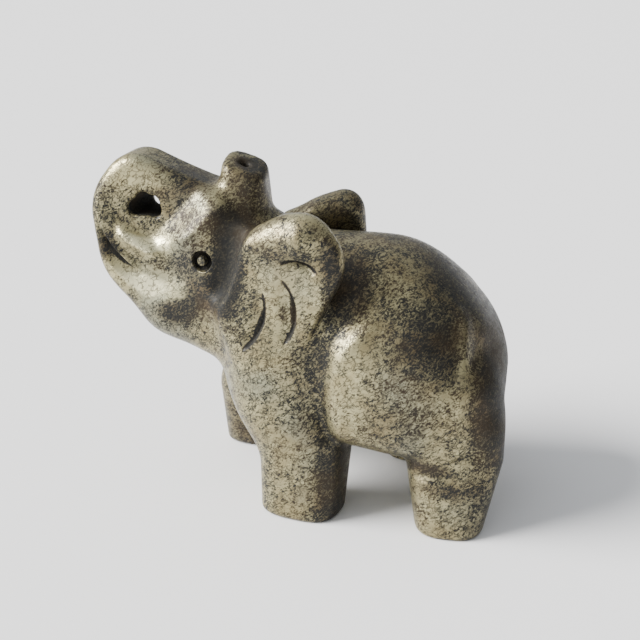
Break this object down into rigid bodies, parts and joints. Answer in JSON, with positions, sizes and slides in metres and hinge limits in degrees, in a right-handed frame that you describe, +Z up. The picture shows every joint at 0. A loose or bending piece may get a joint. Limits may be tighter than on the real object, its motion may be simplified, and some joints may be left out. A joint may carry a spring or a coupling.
{
  "type": "stone elephant carving",
  "caption": "Small polished pyrite elephant with its trunk raised and curled back to the forehead, standing on its feet.",
  "frame": {"origin": "on the floor under the middle of the carving's bounding box", "axes": "+Z up, the elephant looks along -X, its left side faces -Y"},
  "size_m": [0.0488, 0.0272, 0.0398],
  "materials": {
    "pyrite": "polished, mottled pale brass and dark grey-brown"
  },
  "bodies": {
    "root": {"elephant_carving": "pyrite"}
  },
  "joints": []
}
